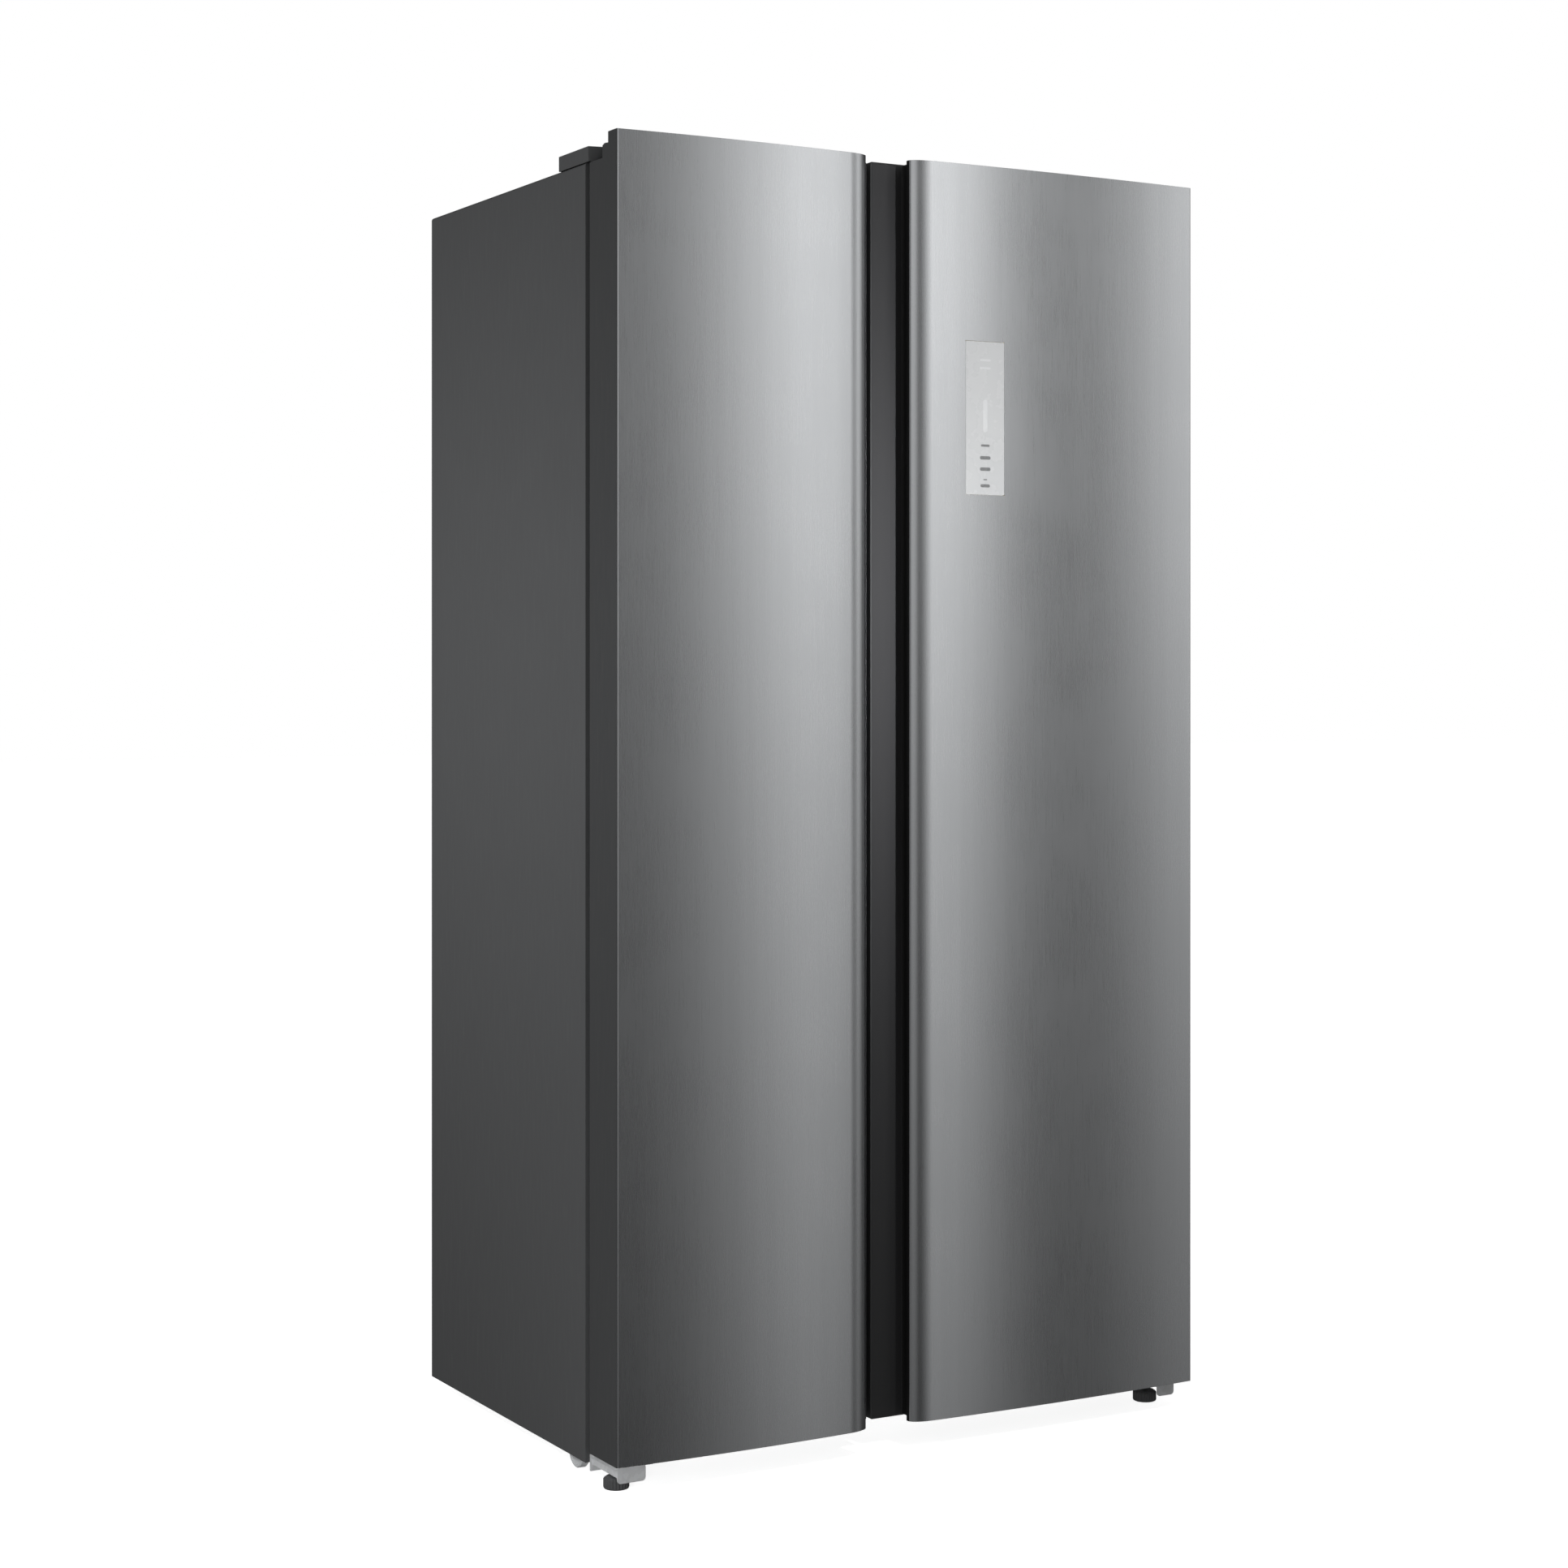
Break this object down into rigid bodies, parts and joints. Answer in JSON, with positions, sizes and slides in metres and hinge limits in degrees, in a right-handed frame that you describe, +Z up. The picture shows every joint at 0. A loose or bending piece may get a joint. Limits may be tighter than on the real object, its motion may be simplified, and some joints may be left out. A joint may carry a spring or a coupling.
{
  "type": "side by side refrigerator",
  "caption": "Side by side refrigerator with bowed steel doors, a full-height handle recess, a display, drawers, shelves, door bins and a rear machine bay.",
  "frame": {"origin": "on the floor under the middle of the object's box", "axes": "+Z up, +X to the right of someone who faces the doors, +Y to the back"},
  "size_m": [0.915, 0.634, 1.746],
  "materials": {
    "cabinet_paint": "satin",
    "door_steel": "satin",
    "plated_steel": "satin",
    "dark_plastic": "matte",
    "white_plastic": "satin",
    "grey_plastic": "matte",
    "clear_plastic": "gloss",
    "shelf_glass": "gloss",
    "display_face": "gloss",
    "seal_rubber": "matte",
    "insulating_foam": "matte",
    "black_enamel": "satin",
    "aluminium": "satin",
    "copper_tube": "satin"
  },
  "bodies": {
    "cabinet": {"cabinet_wrap": "cabinet_paint", "rear_panel": "cabinet_paint", "mullion_rail": "cabinet_paint", "hinge_cover_left": "cabinet_paint", "hinge_cover_right": "cabinet_paint", "base_pan": "plated_steel", "compressor_base": "plated_steel", "top_hinge_left": "plated_steel", "top_hinge_right": "plated_steel", "bottom_hinge_left": "plated_steel", "bottom_hinge_right": "plated_steel", "cabinet_foam": "insulating_foam", "freezer_liner": "white_plastic", "fridge_liner": "white_plastic", "freezer_duct_panel": "white_plastic", "fridge_duct_panel": "white_plastic", "evaporation_tray": "dark_plastic", "compressor_cover": "dark_plastic", "cord_gland": "seal_rubber", "evaporator": "aluminium", "condenser_coil": "copper_tube", "compressor": "black_enamel", "fridge_lamp": "clear_plastic", "freezer_shelf_1": "shelf_glass", "freezer_shelf_2": "shelf_glass", "fridge_shelf_1": "shelf_glass", "fridge_shelf_2": "shelf_glass", "fridge_shelf_3": "shelf_glass"},
    "freezer_door": {"freezer_door_foam": "insulating_foam", "freezer_door_liner": "white_plastic", "freezer_door_handle_trim": "dark_plastic", "freezer_door_cap_top": "dark_plastic", "freezer_door_cap_bottom": "dark_plastic", "freezer_door_gasket": "seal_rubber", "freezer_door_skin": "door_steel", "freezer_door_bin_1": "clear_plastic", "freezer_door_bin_2": "clear_plastic"},
    "fridge_door": {"fridge_door_foam": "insulating_foam", "fridge_door_liner": "white_plastic", "fridge_door_handle_trim": "dark_plastic", "fridge_door_cap_top": "dark_plastic", "fridge_door_cap_bottom": "dark_plastic", "fridge_door_gasket": "seal_rubber", "fridge_door_skin": "door_steel", "fridge_door_bin_1": "clear_plastic", "fridge_door_bin_2": "clear_plastic", "fridge_door_bin_3": "clear_plastic", "display_panel": "display_face"},
    "levelling_foot_left": {"levelling_foot_left": "dark_plastic"},
    "levelling_foot_right": {"levelling_foot_right": "dark_plastic"},
    "front_roller_left": {"front_roller_left": "grey_plastic"},
    "front_roller_right": {"front_roller_right": "grey_plastic"},
    "rear_roller_left": {"rear_roller_left": "grey_plastic"},
    "rear_roller_right": {"rear_roller_right": "grey_plastic"},
    "evaporator_fan": {"evaporator_fan": "grey_plastic"},
    "condenser_fan": {"condenser_fan": "dark_plastic"},
    "freezer_drawer_upper": {"freezer_drawer_upper": "clear_plastic"},
    "freezer_drawer_lower": {"freezer_drawer_lower": "clear_plastic"},
    "fridge_drawer_upper": {"fridge_drawer_upper": "clear_plastic"},
    "fridge_drawer_lower": {"fridge_drawer_lower": "clear_plastic"}
  },
  "joints": [
    {"name": "freezer_door_hinge", "type": "hinge", "parent": "cabinet", "child": "freezer_door", "pos_m": [-0.4375, -0.256, 0.036], "axis": [0, 0, 1], "range_deg": [-110, 0]},
    {"name": "fridge_door_hinge", "type": "hinge", "parent": "cabinet", "child": "fridge_door", "pos_m": [0.4375, -0.256, 0.036], "axis": [0, 0, 1], "range_deg": [0, 110]},
    {"name": "freezer_drawer_upper_slide", "type": "slide", "parent": "cabinet", "child": "freezer_drawer_upper", "axis": [0, -1, 0], "range_m": [0, 0.085]},
    {"name": "freezer_drawer_lower_slide", "type": "slide", "parent": "cabinet", "child": "freezer_drawer_lower", "axis": [0, -1, 0], "range_m": [0, 0.085]},
    {"name": "fridge_drawer_upper_slide", "type": "slide", "parent": "cabinet", "child": "fridge_drawer_upper", "axis": [0, -1, 0], "range_m": [0, 0.085]},
    {"name": "fridge_drawer_lower_slide", "type": "slide", "parent": "cabinet", "child": "fridge_drawer_lower", "axis": [0, -1, 0], "range_m": [0, 0.085]},
    {"name": "evaporator_fan_spin", "type": "hinge", "parent": "cabinet", "child": "evaporator_fan", "pos_m": [-0.247, 0.2247, 1.5], "axis": [0, 1, 0], "continuous": true},
    {"name": "condenser_fan_spin", "type": "hinge", "parent": "cabinet", "child": "condenser_fan", "pos_m": [-0.017, 0.2, 0.155], "axis": [1, 0, 0], "continuous": true},
    {"name": "front_roller_left_spin", "type": "hinge", "parent": "cabinet", "child": "front_roller_left", "pos_m": [-0.4455, -0.175, 0.0235], "axis": [1, 0, 0], "continuous": true},
    {"name": "rear_roller_left_spin", "type": "hinge", "parent": "cabinet", "child": "rear_roller_left", "pos_m": [-0.3855, 0.265, 0.02], "axis": [1, 0, 0], "continuous": true},
    {"name": "levelling_foot_left_turn", "type": "hinge", "parent": "cabinet", "child": "levelling_foot_left", "pos_m": [-0.44, -0.274, 0], "axis": [0, 0, 1], "continuous": true},
    {"name": "front_roller_right_spin", "type": "hinge", "parent": "cabinet", "child": "front_roller_right", "pos_m": [0.4455, -0.175, 0.0235], "axis": [1, 0, 0], "continuous": true},
    {"name": "rear_roller_right_spin", "type": "hinge", "parent": "cabinet", "child": "rear_roller_right", "pos_m": [0.3855, 0.265, 0.02], "axis": [1, 0, 0], "continuous": true},
    {"name": "levelling_foot_right_turn", "type": "hinge", "parent": "cabinet", "child": "levelling_foot_right", "pos_m": [0.4195, -0.251, 0], "axis": [0, 0, 1], "continuous": true}
  ]
}
